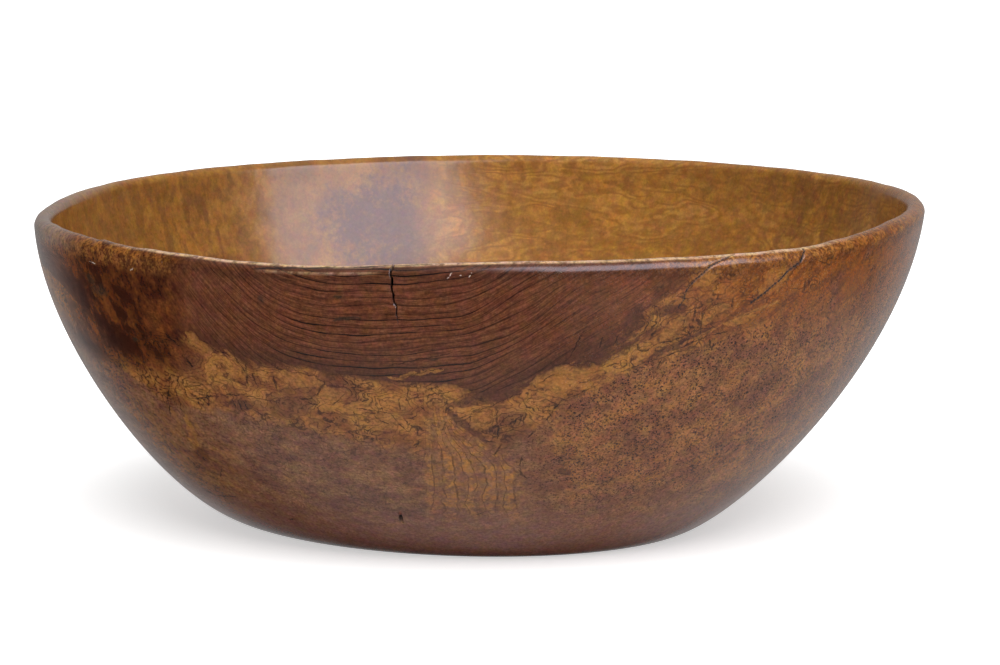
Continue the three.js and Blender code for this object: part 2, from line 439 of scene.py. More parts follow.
def make_bowl():
    """The bowl's mesh, with the fields of the wood as its attributes."""
    count = len(angles)
    rows = len(points)
    placed = points - outward * depth[..., None]
    flat = placed.reshape(-1, 3)
    middle = (points.reshape(-1, 3).min(axis=0) + points.reshape(-1, 3).max(axis=0)) / 2
    ends = np.array([placed[0].mean(axis=0), placed[-1].mean(axis=0)])
    vertices = np.concatenate([flat, ends])
    vertices[:, :2] -= middle[:2]
    vertices[:, 2] = np.maximum(vertices[:, 2], 0)
    column = np.arange(count)
    following = (column + 1) % count
    quads = []
    for row in range(rows - 1):
        low, high = row * count, (row + 1) * count
        quads.append(np.stack([low + column, low + following, high + following, high + column], -1))
    quads = np.concatenate(quads)
    last_row = (rows - 1) * count
    under_middle = rows * count
    floor_middle = under_middle + 1
    triangles = [(under_middle, int(b), int(a)) for a, b in zip(column, following)]
    triangles += [(floor_middle, int(last_row + a), int(last_row + b)) for a, b in zip(column, following)]
    mesh = bpy.data.meshes.new("burl_bowl")
    mesh.from_pydata((vertices / mm_per_m).tolist(), [], quads.tolist() + triangles)
    mesh.shade_smooth()
    for name, field in wood_fields.items():
        values = np.concatenate([field.ravel(), [field[0].mean(), field[-1].mean()]])
        mesh.attributes.new(name, "FLOAT", "POINT").data.foreach_set("value", values.astype(np.float32))
    bowl = bpy.data.objects.new("burl_bowl", mesh)
    bpy.context.scene.collection.objects.link(bowl)
    return bowl


# Wood


def colour(code):
    """Scene colour from a display colour such as 6a3f2c."""
    parts = [int(code[k:k + 2], 16) / 255 for k in (0, 2, 4)]
    return tuple(c / 12.92 if c <= 0.04045 else ((c + 0.055) / 1.055)**2.4 for c in parts) + (1,)


class Wire:
    """An output of a node, which takes part in sums as a number does."""

    def __init__(self, tree, socket):
        self.tree = tree
        self.socket = socket

    def apply(self, operation, *others):
        node = self.tree.nodes.new("ShaderNodeMath")
        node.operation = operation
        for k, value in enumerate((self, *others)):
            plug(self.tree, node.inputs[k], value)
        return Wire(self.tree, node.outputs[0])

    def __add__(self, other):
        return self.apply("ADD", other)

    def __sub__(self, other):
        return self.apply("SUBTRACT", other)

    def __mul__(self, other):
        return self.apply("MULTIPLY", other)

    def __truediv__(self, other):
        return self.apply("DIVIDE", other)

    __radd__ = __add__
    __rmul__ = __mul__

    def __rsub__(self, other):
        return self.apply("MULTIPLY", -1).apply("ADD", other)

    def off_half(self):
        """How far it is from a half."""
        return (self - 0.5).apply("ABSOLUTE")


def plug(tree, socket, value):
    if isinstance(value, Wire):
        tree.links.new(value.socket, socket)
    else:
        socket.default_value = value


class Nodes:
    """A node tree, with short names for the nodes that are used most."""

    def __init__(self, tree):
        self.tree = tree

    def node(self, kind, inputs=None, output=0, **settings):
        node = self.tree.nodes.new("ShaderNode" + kind)
        for name, value in settings.items():
            setattr(node, name, value)
        for name, value in (inputs or {}).items():
            plug(self.tree, node.inputs[name], value)
        return Wire(self.tree, node.outputs[output])

    def attribute(self, name):
        return self.node("Attribute", output="Fac", attribute_name=name)

    def vector(self, x, y, z):
        return self.node("CombineXYZ", {"X": x, "Y": y, "Z": z})

    def scaled(self, vector, factor):
        return self.node("VectorMath", {0: vector, "Scale": factor}, operation="SCALE")

    def added(self, a, b):
        return self.node("VectorMath", {0: a, 1: b}, operation="ADD")

    def product(self, a, b):
        return self.node("VectorMath", {0: a, 1: b}, operation="MULTIPLY")

    def flattened(self, vector):
        """A place laid flat on the plane y = 0, where the marks on the front are given."""
        return self.product(vector, (1, 0, 1))

    def noise(self, vector, size, detail=2.0, rough=0.5, output="Fac"):
        """Noise with features about size millimetres across."""
        values = {"Vector": vector, "Scale": 1 / size, "Detail": detail, "Roughness": rough}
        return self.node("TexNoise", values, output=output)

    def ramp(self, value, low, high, start=0.0, end=1.0):
        """A soft step from start at low to end at high."""
        values = {"Value": value, "From Min": low, "From Max": high, "To Min": start, "To Max": end}
        return self.node("MapRange", values, interpolation_type="SMOOTHSTEP")

    def mixed(self, share, a, b):
        """Colour a, with this share of colour b over it."""
        values = {0: share, 6: a, 7: b}
        return self.node("Mix", values, output=2, data_type="RGBA", clamp_factor=True)

    def parts(self, vector):
        node = self.tree.nodes.new("ShaderNodeSeparateXYZ")
        plug(self.tree, node.inputs[0], vector)
        return [Wire(self.tree, socket) for socket in node.outputs]

    def lens(self, place, start, end, width):
        """Share of the way out of a long oval about two (x, z) points: 0 between them, 1 at its edge."""
        gap = math.dist(start, end)
        spread = math.hypot(gap, width) - gap
        from_start, from_end = (
            self.node("VectorMath", {0: place, 1: (px, 0, pz)}, output="Value", operation="DISTANCE")
            for px, pz in (start, end)
        )
        return (from_start + from_end).apply("MULTIPLY_ADD", 1 / spread, -gap / spread)

    def nearest(self, place, marks):
        """Share of the way out of the nearest of some long ovals. The root makes it grow evenly."""
        least = self.lens(place, *marks[0])
        for mark in marks[1:]:
            least = least.apply("MINIMUM", self.lens(place, *mark))
        return least.apply("SQRT")

    def together(self, *masks):
        """The largest of some masks at each point."""
        total = masks[0]
        for mask in masks[1:]:
            total = total.apply("MAXIMUM", mask)
        return total


CAP_DARK = colour("4e2817")
CAP_LIGHT = colour("7d4a30")
CAP_LINE = colour("1e0f09")
CAP_PURPLE = colour("4e2c1f")
CAP_EMBER = colour("82482a")
GOLD_WOOD = colour("7b4926")
GOLD_LIGHT = colour("a06a32")
GOLD_SHADE = colour("5c3425")
BURL_WOOD = colour("7a4a30")
BURL_LIGHT = colour("996438")
BURL_PURPLE = colour("68402f")
BURL_DOT = colour("2c120a")
LEFT_WOOD = colour("3a170a")
LEFT_GLINT = colour("7a4218")
LEFT_DEEP = colour("341409")
GLOW_WOOD = colour("8c4c12")
GLOW_SHADE = colour("5c3018")
LOW_WOOD = colour("6e4636")
LOW_LIGHT = colour("8a5f40")
# Mauve wood of the foot, lightened with a painted reflection of the white floor
FOOT_WOOD_AND_FLOOR_REFLECTION = colour("8b5d4f")
INNER_WOOD = colour("b47c34")
INNER_SHADE = colour("8a5c2a")
INNER_LIGHT = colour("ba8646")
# Mauve tint painted under the window's reflection inside
INNER_HAZE_TINT = colour("5e4038")
# Painted shade towards both ends of the inside
INNER_PAINTED_SHADE = colour("744c2a")
# Grey painted on the rim's left end as a reflection of the white backdrop
RIM_REFLECTION_GREY = colour("8c7668")
# Pale wear, and a painted highlight along the front of the crest
RIM_WEAR_AND_HIGHLIGHT = colour("d4ac86")
# Painted shade in the splits and the small hole
SPLIT_SHADE = colour("0c0705")
# Small pale flecks near the front of the rim
PALE_FLECK = colour("b8a898")
KNOT = colour("2c2820")
LIP_WOOD = colour("9a622a")
LIP_SHADE = colour("663a1c")

# Marks on the front: start and end as (x, z) in millimetres, and width
left_lines = [
    ((-155, 102), (-157.5, 90), 0.9), ((-157.5, 90), (-157.5, 73), 0.9), ((-150, 103), (-155, 87), 0.7),
    ((-147.5, 89.5), (-148.5, 95), 0.8), ((-148.5, 95), (-132.5, 99.5), 0.8), ((-146, 89), (-130, 93), 0.9),
    ((-129.5, 93.5), (-114, 96.5), 0.8), ((-123.5, 104), (-115.5, 100.5), 1.5),
    ((-112, 108), (-109.5, 102), 1.2), ((-148, 114), (-143, 107.5), 1.8), ((-133, 120), (-121, 116), 0.9),
    ((-121, 116), (-112.5, 105), 1), ((-158, 126), (-148.5, 118), 1), ((-114.5, 113.5), (-114.5, 100.5), 1.6),
    ((-101, 108), (-99.5, 100.5), 1.9),
    ((-122, 95.5), (-98.5, 93), 0.8), ((-153, 93), (-151, 80.5), 0.7), ((-132, 48.5), (-133, 41), 0.9),
    ((-133, 40), (-142, 40.5), 0.9), ((-148, 31), (-137, 26.5), 0.9), ((-137, 26.5), (-126, 29.5), 0.9),
    ((-165, 62), (-159, 49.5), 0.8), ((-122.5, 92), (-121.5, 87.5), 1.1), ((-119.5, 92), (-118.5, 86.5), 1.1),
    ((-117, 92), (-115.5, 87.5), 1),
]
middle_lines = [
    ((-88.5, 96), (-81, 97), 2), ((-85, 95), (-79, 93), 1.1), ((-79.5, 98.5), (-75, 107), 1.6),
    ((-97, 112), (-77, 108.5), 0.8), ((-65, 100.5), (-71.5, 93), 0.9), ((-62.5, 104), (-50, 104), 0.8),
    ((-62, 103), (-49, 100.5), 0.8), ((-68, 111.5), (-62, 104.5), 0.7), ((-61.5, 91), (-59.5, 82.5), 0.8),
    ((-60.5, 92.5), (-43.5, 91), 0.8), ((-43.5, 91), (-34, 79.5), 0.8), ((-51, 88), (-43, 84), 1.2),
    ((-43, 116.5), (-12, 124), 1), ((-41.5, 109), (-16, 116.5), 0.7), ((-33.5, 105.5), (-35, 98.5), 0.9),
    ((-38.5, 96.5), (-38, 92), 1.1), ((-35.5, 98), (-11, 103.5), 1), ((-16, 97.5), (-14, 92), 2.2),
    ((-29.5, 96), (-23, 89), 0.9), ((-15, 99), (-15.5, 90.5), 1.3), ((-3, 91), (22, 102.5), 0.8),
    ((-3, 91), (-4.5, 84.5), 0.9),
]
right_lines = [
    ((9.5, 91), (10, 83.5), 1.1), ((10, 85), (10, 76.5), 2.4), ((12, 74), (8, 67), 2),
    ((3.5, 76), (9.5, 74.5), 1), ((15, 84), (18, 87), 1), ((17.5, 83.5), (19.5, 88.5), 1),
    ((20, 84.5), (22.5, 90), 1),
    ((22.5, 86), (24, 91.5), 1), ((34.5, 87), (37, 92.5), 1.4), ((36.5, 92), (42.5, 98.5), 0.9),
    ((42, 98), (58, 105), 0.8), ((24, 76.5), (29, 82.5), 1.4), ((28.5, 107), (38.5, 112.5), 0.8),
    ((51.5, 134.5), (44.5, 120), 1), ((61.5, 131.5), (59, 125), 1.1), ((69, 132.5), (66.5, 126), 0.8),
    ((63, 116), (69.5, 116.5), 1.5), ((79, 127), (79.5, 123), 1.5), ((79.5, 123), (84.5, 124), 1.8),
    ((83.5, 124), (103, 130), 0.9), ((83.5, 128), (87.5, 134), 1.3), ((87, 133.5), (90.5, 141), 1),
    ((67.5, 111.5), (88.5, 118.5), 0.8), ((88.5, 118.5), (102.5, 122), 0.8), ((90, 117.5), (86.5, 110), 0.8),
    ((106.5, 144), (105.5, 136.5), 1.5), ((126, 147), (125.5, 141), 1.2), ((94.5, 121.5), (116, 129.5), 0.7),
    ((103, 132), (104.5, 129), 1.2), ((116, 129), (123.5, 130.5), 1), ((114.5, 126.5), (115.5, 121), 1.7),
    ((118.5, 114), (121, 114.5), 3), ((130, 137.5), (138, 139.5), 0.8), ((126, 163.5), (133, 166.5), 1),
    ((199, 150), (203, 153.5), 1.6), ((167, 163), (177.5, 158), 1),
]
low_lines = [
    ((-31.5, 72.5), (-27, 75.5), 1.9), ((20, 58.5), (24.5, 52.5), 1.4), ((22, 66.5), (21, 57.5), 1.1),
    ((-3, 30), (6, 33), 0.7), ((-98.5, 19), (-94.5, 20.5), 1.7), ((-3.5, 91.5), (2, 94), 0.8),
]
dark_lines = left_lines + middle_lines + right_lines + low_lines
islands = [
    ((-146, 126), (-131, 116.5), 5), ((-130, 116), (-114, 104), 7), ((-109, 109.5), (-99, 101), 6),
    ((-148.5, 93), (-132, 96), 7), ((-136, 109.5), (-125, 106.5), 4), ((-97, 109.5), (-75.5, 104), 8),
    ((-78, 99.5), (-64.5, 100.5), 9), ((-35, 103.5), (-4, 104), 5), ((-62, 86.5), (-34.5, 84), 11),
    ((-71.5, 91.5), (-42, 96.5), 5), ((27, 106.5), (62, 114), 11), ((-3, 84.5), (9.5, 88.5), 10),
    ((23, 95), (49.5, 106.5), 7), ((110.5, 136), (124, 145.5), 7), ((110, 157), (120, 165), 8),
    ((121, 133), (138.5, 139), 4.5), ((139.5, 148.5), (158, 164), 11), ((90, 128), (100.5, 138), 7),
    ((-148.5, 78), (-145, 60), 5.5), ((-43, 109), (-16, 116), 3),
]
ridges = [((99.5, 124.5), (121, 134), 2.2), ((119, 133.5), (150, 144), 2)]
purples = [
    ((-14.5, 95.5), (22.5, 103), 7), ((-15.5, 93), (4.5, 75), 5), ((48, 115.5), (65, 121), 8),
    ((72.5, 133.5), (80, 147.5), 8), ((83.5, 119), (116, 133), 4), ((-123.5, 90), (-114, 89), 8),
    ((86, 142), (102, 145), 5.5), ((-142.5, 57.5), (-140.5, 51.5), 9), ((40.5, 57.5), (46, 55.5), 5),
]
knots = [
    ((-198, 148.5), (-195.5, 145), 6), ((-196, 143), (-189, 141), 9), ((-107, 149), (-105, 147), 4.5),
    ((-70, 151.5), (-65.5, 151), 2.4), ((-71, 139.5), (-56.5, 141.5), 2.8), ((-23, 119.5), (-18.5, 120.5), 2),
    ((-174.5, 118.5), (-172, 118), 3),
]
swirls = [
    ((-167, 135), (-162.5, 133.5), 4.5), ((-164, 130), (-160, 128.5), 5), ((-187, 122), (-183, 122), 4.5),
    ((-165, 121), (-150, 119.5), 8), ((-146, 96.5), (-135, 92.5), 15), ((-181.5, 141), (-178.5, 139.5), 4.5),
]
# Small pale flecks near the front of the rim: start and end as (x, z) in millimetres, and width
pale_flecks = [
    ((-14.5, 161.5), (-12.5, 164.5), 0.8), ((-8, 163), (-7.4, 163), 0.9), ((-3.8, 162.5), (-2.2, 164.5), 1),
    ((38, 164), (41.5, 164.2), 0.9), ((-197, 157), (-194, 156), 0.6), ((-174, 156), (-172, 157), 1),
]

# Growth rings and burl eyes, in millimetres
ring_spacing = 3.7
eye_spacing = 1.5


class BurlWood(Nodes):
    """The wood's node tree. Each method makes one part of the wood from shared noises and fields."""

    def __init__(self, tree):
        super().__init__(tree)
        self.place = self.scaled(self.node("TexCoord", output="Object"), mm_per_m)
        self.fields = {name: self.attribute(name) for name in wood_fields}
        self.x, self.y, self.z = self.parts(self.place)
        self.broad = self.noise(self.place, 60, 2)
        self.middling = self.noise(self.place, 14, 3, 0.6)
        self.small = self.noise(self.place, 4, 3, 0.65)
        self.tiny = self.noise(self.place, 1.5, 2, 0.7)
        along, across = self.x * 0.8 + self.z * 0.6, self.z * 0.8 - self.x * 0.6
        self.slant = self.noise(self.vector(along * 0.05, across * 0.25, self.y * 0.05), 1, 4, 0.7)

    def cap(self):
        """Straight grain: thin dark growth rings that fade on their upper side."""
        x, y, ring = self.x, self.y, self.fields["ring"]
        clear, ember = self.fields["clear"], self.fields["ember"]
        swell = self.noise(self.vector(x * 0.022, y * 0.022, ring * 0.05), 1, 1)
        rings = ring + (swell - 0.5) * 10 + (self.middling - 0.5) * 1.2
        level = rings / ring_spacing
        number = level.apply("FLOOR")
        chance = self.node("TexWhiteNoise", {"W": number}, noise_dimensions="1D")
        gap = level.apply("FRACT") - 0.1 - 0.45 * chance
        along = self.noise(self.vector(x * 0.03, number * 7.3, y * 0.03), 1, 2, 0.6)
        thick = self.ramp(along, 0.4, 0.7, 0.015, 0.08)
        line = self.ramp(gap.apply("ABSOLUTE"), thick, thick + 0.07, 1, 0)
        fading = self.ramp(gap, 0.0, 0.5, 1, 0) * self.ramp(gap, -0.05, 0.02)
        strength = self.ramp(chance * 0.5 + along, 0.5, 0.9, 0.35, 1)
        self.grooves = line * strength * clear
        streak = self.noise(self.vector(x * 0.1, rings * 1.1, y * 0.1), 1, 5, 0.75)
        hair = self.ramp(self.noise(self.vector(x * 0.09, rings * 1.8, y * 0.09), 1, 3, 0.65), 0.52, 0.66)
        low_edge = self.ramp(self.fields["cap"] + (self.broad - 0.5) * 30, 16, 2)
        result = self.mixed(self.ramp(streak, 0.28, 0.74), CAP_DARK, CAP_LIGHT)
        result = self.mixed(ember * self.ramp(self.middling, 0.35, 0.6) * 0.5, result, CAP_EMBER)
        result = self.mixed(ember * self.ramp(self.slant, 0.52, 0.62) * 0.5, result, GOLD_WOOD)
        result = self.mixed(low_edge * 0.75, result, CAP_PURPLE)
        result = self.mixed(hair * (0.6 - 0.3 * clear), result, CAP_LINE)
        result = self.mixed(fading * clear * 0.3, result, CAP_LINE)
        return self.mixed(self.grooves * 0.95, result, CAP_LINE)

    def golden_band(self):
        """Fine contour lines of the burl's figure, and dark ticks across them."""
        x, y, z = self.x, self.y, self.z
        figure = self.noise(self.vector(x * 0.7, y * 0.7, z * 1.2), 26, 3, 0.55)
        contour = (figure * 20 + (self.small - 0.5) * 1.2).apply("FRACT")
        contour_line = self.ramp(contour.off_half(), 0.03, 0.18, 1, 0)
        patch = self.ramp(self.noise(self.place, 17, 2), 0.45, 0.6)
        ticks = self.ramp(self.noise(self.vector(x, y * 0.6, z * 0.4), 1.1, 1), 0.57, 0.66) * patch
        self.figured = self.together(contour_line * (0.35 + 0.6 * patch), ticks * 0.8)
        result = self.mixed(self.ramp(self.middling, 0.38, 0.62), GOLD_WOOD, GOLD_LIGHT)
        result = self.mixed(self.ramp(figure, 0.5, 0.64) * 0.7, result, GOLD_SHADE)
        result = self.mixed(contour_line * 0.4, result, GOLD_SHADE)
        return self.mixed(self.figured * 0.6, result, CAP_LINE)

    def lower_wall(self):
        """Faint level streaks and hair lines."""
        x, y, z = self.x, self.y, self.z
        streak = self.noise(self.vector(x * 0.35, y * 0.35, z), 7, 4, 0.65)
        result = self.mixed(self.ramp(streak, 0.38, 0.62), LOW_WOOD, LOW_LIGHT)
        result = self.mixed(self.figured * 0.45, result, CAP_LINE)
        hair = self.ramp(self.noise(self.vector(x, y, z * 2), 3, 3, 0.7), 0.5, 0.62)
        return self.mixed(hair * 0.35, result, CAP_LINE)

    def burl(self, low_wood):
        """Brown wood full of small dark eyes, joined here and there in squiggles."""
        place, burl = self.place, self.fields["burl"]
        waver = self.added(place, self.scaled(self.noise(place, 2.4, 2, output="Color"), 2.2))
        cells = self.node("TexVoronoi", {"Vector": waver, "Scale": 1 / eye_spacing}, output="Distance")
        worms = self.ramp(self.noise(place, 3, 1).off_half(), 0.01, 0.035, 1, 0)
        cluster = self.ramp(self.noise(place, 10, 2), 0.32, 0.56, 0.65, 1)
        self.eyes = self.together(self.ramp(cells, 0.26, 0.4, 1, 0), worms * 0.6) * cluster
        result = self.mixed(self.ramp(self.middling, 0.38, 0.64), BURL_WOOD, BURL_LIGHT)
        result = self.mixed(self.ramp(self.noise(place, 22, 3), 0.48, 0.7) * 0.5, result, BURL_PURPLE)
        result = self.mixed(burl, low_wood, result)
        return self.mixed(self.eyes * (0.35 + 0.65 * burl), result, BURL_DOT)

    def striped(self):
        """Lines that fan out down the front."""
        x, y, z, small = self.x, self.y, self.z, self.small
        flow = self.fields["fan"] * 9 + (self.noise(self.vector(x, y, z * 0.5), 12, 2) - 0.5) * 2.2
        line = self.ramp(flow.apply("FRACT").off_half(), 0.02, 0.13, 1, 0)
        result = self.mixed(self.ramp(small, 0.4, 0.6), LOW_LIGHT, GOLD_LIGHT)
        result = self.mixed(self.ramp(flow.apply("PINGPONG", 1), 0.2, 0.9, 0, 0.5), result, LOW_WOOD)
        return self.mixed(line * self.ramp(small, 0.35, 0.55, 0.25, 0.7), result, CAP_LINE)

    def outer_wood(self):
        """The burl and the lower wall, the golden band over them and the cap at the top."""
        broad, middling, small = self.broad, self.middling, self.small
        cap_wood = self.cap()
        gold_wood = self.golden_band()
        burl_wood = self.burl(self.lower_wall())
        striped_wood = self.striped()
        fray = self.noise(self.vector(self.x * 0.05, self.fields["ring"] * 0.35, self.y * 0.05), 1, 3, 0.65)
        edge = (small - 0.5) * 5 + (middling - 0.5) * 12
        on_gold = self.ramp(self.fields["gold"] + edge + (broad - 0.5) * 12, -4, 4)
        ember = self.fields["ember"]
        feather = (fray - 0.5) * 18 * (1.4 - self.fields["clear"]) + (self.slant - 0.5) * 110 * ember
        cap_edge = self.fields["cap"] + feather + (small - 0.5) * 3
        self.on_cap = self.ramp(cap_edge, -2 - 16 * ember, 2.5 + 10 * ember)
        self.on_band = on_gold * (1 - self.on_cap)
        in_stripes = self.fields["stripes"] * self.ramp(small * 0.5 + middling * 0.5, 0.38, 0.58, 0.35, 0.85)
        result = self.mixed(on_gold, burl_wood, gold_wood)
        result = self.mixed(in_stripes, result, striped_wood)
        result = self.mixed(self.on_cap, result, cap_wood)
        # Mauve wood towards the foot, partly its own tone and partly a painted reflection of the white floor
        return self.mixed(self.ramp(self.z + (middling - 0.5) * 16, 40, 6) * 0.8, result, FOOT_WOOD_AND_FLOOR_REFLECTION)

    def left_shoulder(self, result):
        """Dark wood with golden patches that run steeply down to the right."""
        mottle = self.fields["mottle"]
        across, down = self.x * 0.87 + self.z * 0.5, self.z * 0.87 - self.x * 0.5
        run = self.noise(self.vector(across * 0.1, down * 0.05, self.y * 0.05), 1, 4, 0.7)
        dark = self.mixed(self.ramp(run, 0.4, 0.7), LEFT_WOOD, LEFT_GLINT)
        dark = self.mixed(self.ramp(self.noise(self.place, 9, 3, 0.7), 0.48, 0.7) * 0.5, dark, LEFT_DEEP)
        dark = self.mixed(self.figured * 0.3, dark, CAP_LINE)
        return self.mixed(mottle * self.ramp(self.middling + mottle, 0.5, 1.1), result, dark)

    def right_shoulder(self, result):
        """Orange gold, with darker slanting patches."""
        orange = self.mixed(self.figured * 0.5, GLOW_WOOD, CAP_LINE)
        glow = self.fields["glow"] * self.ramp(self.middling, 0.25, 0.52) * (1 - 0.6 * self.eyes)
        result = self.mixed(glow, result, orange)
        side = self.ramp(self.x, 20, 70) * self.ramp(self.z, 112, 145)
        return self.mixed(side * self.ramp(self.slant, 0.5, 0.6) * 0.55, result, GLOW_SHADE)

    def front_marks(self, result):
        """The single marks on the front, at their own places and slightly bent."""
        place, small, front = self.place, self.small, self.fields["front"]
        # Noise is a half on the whole, so half of its reach is taken off again
        bend = self.scaled(self.noise(place, 5, 3, 0.6, output="Color"), 3.4)
        bent = self.added(self.vector(self.x, 0.0, self.z), bend)
        bent = self.added(bent, (-1.7, -1.7, -1.7))
        bent = self.added(bent, self.scaled(self.noise(place, 1.5, 1, output="Color"), 0.7))
        flat = self.flattened(bent)
        uneven = self.added(flat, self.scaled(self.noise(place, 8, 2, output="Color"), 9))
        uneven = self.flattened(self.added(uneven, (-4.5, 0, -4.5)))
        island = self.nearest(uneven, islands)
        island_fill = self.ramp(island, 0.6, 1.2, 1, 0) * self.ramp(small, 0.3, 0.6, 0.5, 1)
        island_edge = self.ramp((island - 1.1).apply("ABSOLUTE"), 0.02, 0.16, 1, 0)
        island_edge = island_edge * self.ramp(small, 0.42, 0.58)
        purple = self.ramp(self.nearest(flat, purples), 0.6, 1.1, 1, 0)
        knot = self.ramp(self.nearest(flat, knots), 0.2, 1.2, 1, 0)
        swirl = self.nearest(flat, swirls)
        swirl_line = self.ramp((swirl * 2.5 + small).apply("PINGPONG", 0.5), 0.06, 0.25, 1, 0)
        swirl_line = swirl_line * self.ramp(swirl, 0.9, 1.5, 1, 0)
        ridge = self.ramp(self.nearest(flat, ridges), 0.5, 1.1, 1, 0)
        lines = self.ramp(self.nearest(flat, dark_lines), 0.3, 1.1, 1, 0)
        lines = lines * self.ramp(small, 0.35, 0.55, 0.35, 1)
        self.pale_fleck_mask = self.ramp(self.nearest(flat, pale_flecks), 0.5, 1.0, 1, 0) * self.ramp(self.tiny, 0.4, 0.55)
        result = self.mixed(purple * front * 0.7, result, CAP_PURPLE)
        result = self.mixed(island_fill * front * 0.6, result, GOLD_LIGHT)
        result = self.mixed(island_edge * front * 0.55, result, CAP_LINE)
        result = self.mixed(swirl_line * front * 0.4, result, CAP_LINE)
        result = self.mixed(ridge * front * 0.5, result, GOLD_LIGHT)
        result = self.mixed(self.figured * front * self.on_band * 0.4, result, CAP_LINE)
        result = self.mixed(knot * front * 0.6, result, KNOT)
        return self.mixed(lines * front * 0.8, result, CAP_LINE)

    def lining(self, result):
        """The inside: golden, mottled along the wall, with long arcs at the right, painted shade towards both
        ends, and a darker mauve patch painted under the window's reflection.
        """
        x, y, z = self.x, self.y, self.z
        waves = self.noise(self.vector(x * 0.014, y * 0.014, z * 0.045), 1, 3, 0.5)
        arcs = self.ramp((waves * 15 + self.small * 0.5).apply("FRACT").off_half(), 0.05, 0.4, 1, 0)
        upright = self.noise(self.vector(x, y, z * 0.4), 9, 4, 0.6)
        mottle = self.middling * 0.35 + self.small * 0.2 + waves * 0.1 + upright * 0.35
        # Painted shade towards both ends of the inside
        painted_shade = self.fields["painted_shade"] * self.ramp(upright, 0.4, 0.62, 0.1, 1)
        # Darker mauve patch painted where the window's reflection falls, so the reflection covers the gold as
        # a grey haze
        shade = self.fields["shade"] * self.ramp(self.small * 0.4 + self.broad * 0.6, 0.4, 0.6, 0.2, 1)
        inside = self.mixed(self.ramp(mottle, 0.38, 0.62), INNER_SHADE, INNER_WOOD)
        inside = self.mixed(self.ramp(waves, 0.45, 0.7) * 0.4, inside, INNER_LIGHT)
        inside = self.mixed(arcs * self.ramp(x, -60, 0) * 0.7, inside, INNER_SHADE)
        inside = self.mixed(painted_shade, inside, INNER_PAINTED_SHADE)
        inside = self.mixed(shade, inside, INNER_HAZE_TINT)
        return self.mixed(self.fields["lining"], result, inside)

    def lip(self, result):
        """Golden wood with dark flecks at both ends of the rim's front."""
        flecked = self.mixed(self.ramp(self.small * 0.4 + self.tiny * 0.6, 0.4, 0.6), LIP_SHADE, LIP_WOOD)
        fringe = self.ramp(self.middling * 0.6 + self.small * 0.4, 0.34, 0.56, 0.2, 0.9)
        return self.mixed(self.fields["lip"] * fringe, result, flecked)

    def wear(self, result):
        """Painted reflection grey at the rim's left end, painted shade on the rim's outer top, pale wear with
        a painted highlight on the crest, pale flecks, small changes of tint all over, and painted shade in
        the splits and the hole.
        """
        crest, lining = self.fields["crest"], self.fields["lining"]
        # Painted reflection: the rim's left end is greyed as the white backdrop's reflection would grey it
        result = self.mixed(crest * self.ramp(self.x, -198, -226, 0, 0.6), result, RIM_REFLECTION_GREY)
        # Painted shade: the outside of the rim's top is darkened, except inside and on the lip
        result = self.scaled(result, 1 - 0.3 * crest * (1 - lining) * (1 - self.fields["lip"]))
        # Pale wear, and along the crest a painted highlight as well
        wear_and_highlight = self.fields["wear_and_highlight"] * self.ramp(self.small, 0.35, 0.55, 0.3, 0.9)
        result = self.mixed(wear_and_highlight, result, RIM_WEAR_AND_HIGHLIGHT)
        # Small pale flecks on the front near the rim
        result = self.mixed(self.pale_fleck_mask * self.fields["front"], result, PALE_FLECK)
        tint = self.noise(self.place, 6, 4, 0.7, output="Color")
        spread = {0: tint, 1: (0.3, 0.8, 1.4), 2: (0.85, 0.6, 0.3)}
        result = self.product(result, self.node("VectorMath", spread, operation="MULTIPLY_ADD"))
        tone = 0.02 + 1.35 * self.tiny + 0.6 * self.small
        result = self.scaled(result, self.ramp(lining, 0, 1, tone, 0.5 + 0.5 * tone))
        # Painted shade in the splits and the small hole
        return self.mixed(self.fields["dark"], result, SPLIT_SHADE)

    def roughness(self):
        eyes = self.eyes * self.fields["burl"]
        return (0.18 + 0.08 * self.middling + 0.06 * eyes + 0.04 * self.fields["crest"]
                + 0.6 * self.fields["dark"])

    def bump(self):
        """Tool marks, fine pores that are coarser inside, and the grooves of the growth rings."""
        pores = self.small * (0.04 + 0.08 * self.fields["lining"])
        height = self.noise(self.place, 16, 2) * 0.7 + pores - self.grooves * self.on_cap * 0.1
        return self.node("Bump", {"Strength": 0.5, "Distance": 0.0005, "Height": height})


def node_of(tree, kind):
    return next(node for node in tree.nodes if node.type == kind)


def wood_material():
    material = bpy.data.materials.new("burl_wood")
    material.use_nodes = True
    tree = material.node_tree
    wood = BurlWood(tree)
    result = wood.outer_wood()
    for part in (wood.left_shoulder, wood.right_shoulder, wood.front_marks, wood.lining, wood.lip, wood.wear):
        result = part(result)
    bsdf = node_of(tree, "BSDF_PRINCIPLED")
    plug(tree, bsdf.inputs["Base Color"], result)
    plug(tree, bsdf.inputs["Roughness"], wood.roughness())
    plug(tree, bsdf.inputs["Normal"], wood.bump())
    bsdf.inputs["Specular IOR Level"].default_value = 0.42
    return material


bowl = make_bowl()
bowl.data.materials.append(wood_material())
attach(bowl, "root")
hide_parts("bowl")

# Studio, in metres
scene = bpy.context.scene
scene.view_settings.view_transform = "Standard"

floor_size = 60
floor_tone = 0.92
floor_glow = 0.52  # what the camera alone sees on top of the floor's own light
ambient = 0.42
window_width = 1.5
window_height = 1.25
window_strength = 6.8
sun_strength = 2.7
sun_spread = 50  # degrees, for soft shadows
camera_lens = 141.3
camera_place = (0.0108, -2.1008, 0.4262)
camera_dip = 8.83  # degrees below level


